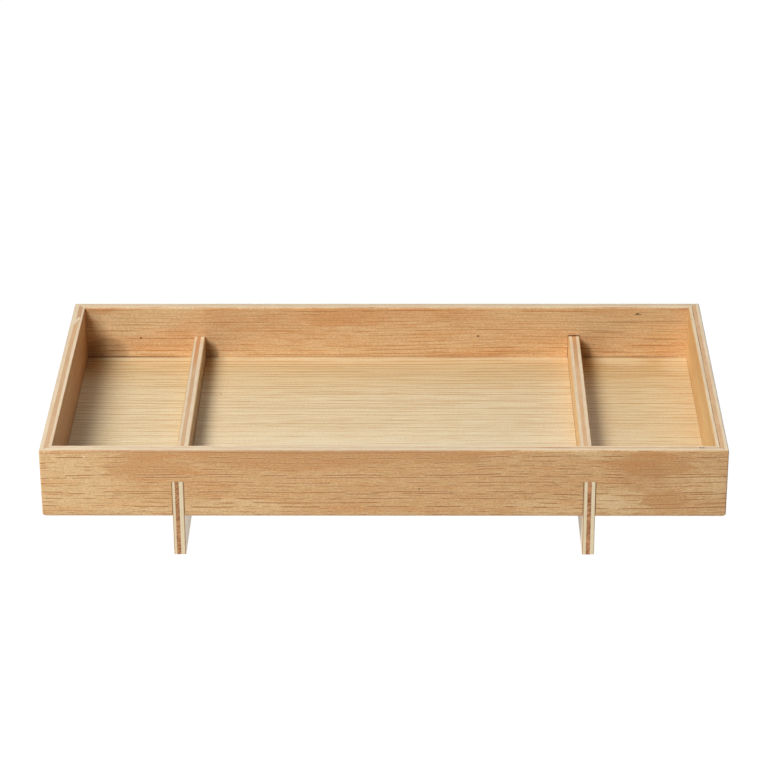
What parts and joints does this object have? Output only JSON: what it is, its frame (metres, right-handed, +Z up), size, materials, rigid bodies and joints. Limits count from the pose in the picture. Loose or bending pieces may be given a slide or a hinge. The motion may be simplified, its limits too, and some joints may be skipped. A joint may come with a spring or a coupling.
{
  "type": "divided tray",
  "caption": "Low rectangular plywood tray with mitred walls, standing on cross boards that rise through the floor as dividers.",
  "frame": {"origin": "under the middle of the tray, on the surface that its feet stand on", "axes": "+X along the tray's length to the right, +Y from the front wall to the back wall, +Z up"},
  "size_m": [0.35, 0.18, 0.06],
  "materials": {
    "wall_oak": "oak-veneered plywood, grain along the wall, clear matt finish",
    "floor_oak": "oak-veneered plywood, grain along the tray's length, clear matt finish",
    "cross_board_oak": "oak-veneered plywood with bare ply edges, clear matt finish"
  },
  "bodies": {
    "root": {"front_wall": "wall_oak", "back_wall": "wall_oak", "left_wall": "wall_oak", "right_wall": "wall_oak", "floor_left": "floor_oak", "floor_centre": "floor_oak", "floor_right": "floor_oak", "cross_board_left": "cross_board_oak", "cross_board_right": "cross_board_oak"}
  },
  "joints": []
}
